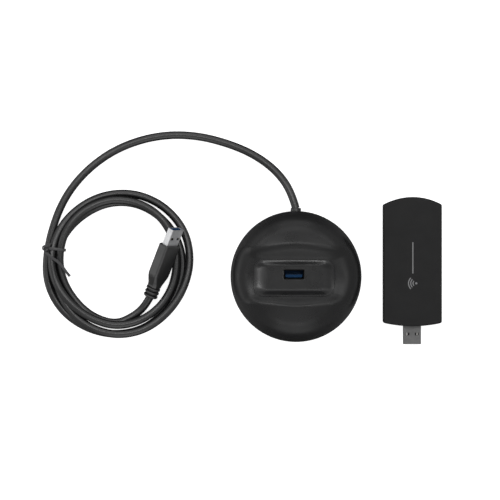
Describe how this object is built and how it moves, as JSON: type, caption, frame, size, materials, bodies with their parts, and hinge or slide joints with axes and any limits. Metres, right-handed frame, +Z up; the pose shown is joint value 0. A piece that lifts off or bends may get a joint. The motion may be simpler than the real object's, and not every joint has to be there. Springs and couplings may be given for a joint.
{
  "type": "usb wifi adapter with desk cradle",
  "caption": "Flat black wireless network stick with a type-A plug, lying beside its round desk cradle and the cradle's coiled and tied captive extension cord.",
  "frame": {"origin": "middle of the cradle's rubber foot, on the desk surface", "axes": "+Z up from the desk, +X from the cradle towards the adapter stick, +Y towards the side where the cord leaves the cradle"},
  "size_m": [0.272, 0.1441, 0.0389],
  "materials": {
    "cradle_plastic": "satin moulded plastic, near black",
    "base_plastic": "fine spark-eroded texture, near black",
    "foot_rubber": "matt rubber",
    "weight_steel": "plain rolled",
    "screw_steel": "zinc plated",
    "board_laminate": "green solder mask",
    "plug_steel": "nickel plated, soft brushed",
    "blue_insulator": "moulded blue",
    "contact_gold": "gold flash",
    "cord_jacket": "satin flexible jacket",
    "wire_sleeve": "coloured sleeves",
    "tie_plastic": "flat sleeve over wire",
    "plug_plastic": "satin overmould",
    "adapter_plastic": "fine matt texture, black",
    "shield_steel": "tinned sheet",
    "chip_epoxy": "moulded epoxy",
    "thermal_rubber": "soft grey",
    "ceramic_tan": "fired ceramic",
    "antenna_metal": "stamped sheet"
  },
  "bodies": {
    "cradle": {"cradle_top_cover": "cradle_plastic", "cradle_pocket_tray": "cradle_plastic", "cradle_base_cover": "base_plastic", "cradle_foot_pad": "foot_rubber", "cradle_weight": "weight_steel", "cradle_base_screws": "screw_steel", "port_board": "board_laminate", "port_board_screws": "screw_steel", "port_shell": "plug_steel", "port_tongue": "blue_insulator", "port_contacts": "contact_gold", "cord_gland": "cord_jacket", "cord_inner_end": "cord_jacket", "cord_clamp": "base_plastic", "cord_clamp_screws": "screw_steel", "port_wires": "wire_sleeve", "cord_lead": "cord_jacket", "cord_coil": "cord_jacket", "cord_tail": "cord_jacket", "twist_tie": "tie_plastic", "plug_overmould": "plug_plastic", "plug_strain_relief": "plug_plastic", "plug_shell": "plug_steel", "plug_insulator": "blue_insulator", "plug_contacts": "contact_gold"},
    "adapter": {"adapter_front_cover": "adapter_plastic", "adapter_rear_cover": "adapter_plastic", "adapter_board": "board_laminate", "adapter_board_screws": "screw_steel", "adapter_plug_shell": "plug_steel", "adapter_plug_insulator": "blue_insulator", "adapter_plug_contacts": "contact_gold", "rf_shield_can": "shield_steel", "radio_chip": "chip_epoxy", "thermal_pad": "thermal_rubber", "clock_crystal": "shield_steel", "capacitors": "ceramic_tan", "power_regulator": "chip_epoxy", "antenna_left": "antenna_metal", "antenna_right": "antenna_metal"}
  },
  "joints": [
    {"name": "adapter_lift", "type": "slide", "parent": "cradle", "child": "adapter", "axis": [0, 0, 1], "range_m": [0, 0.12]}
  ]
}
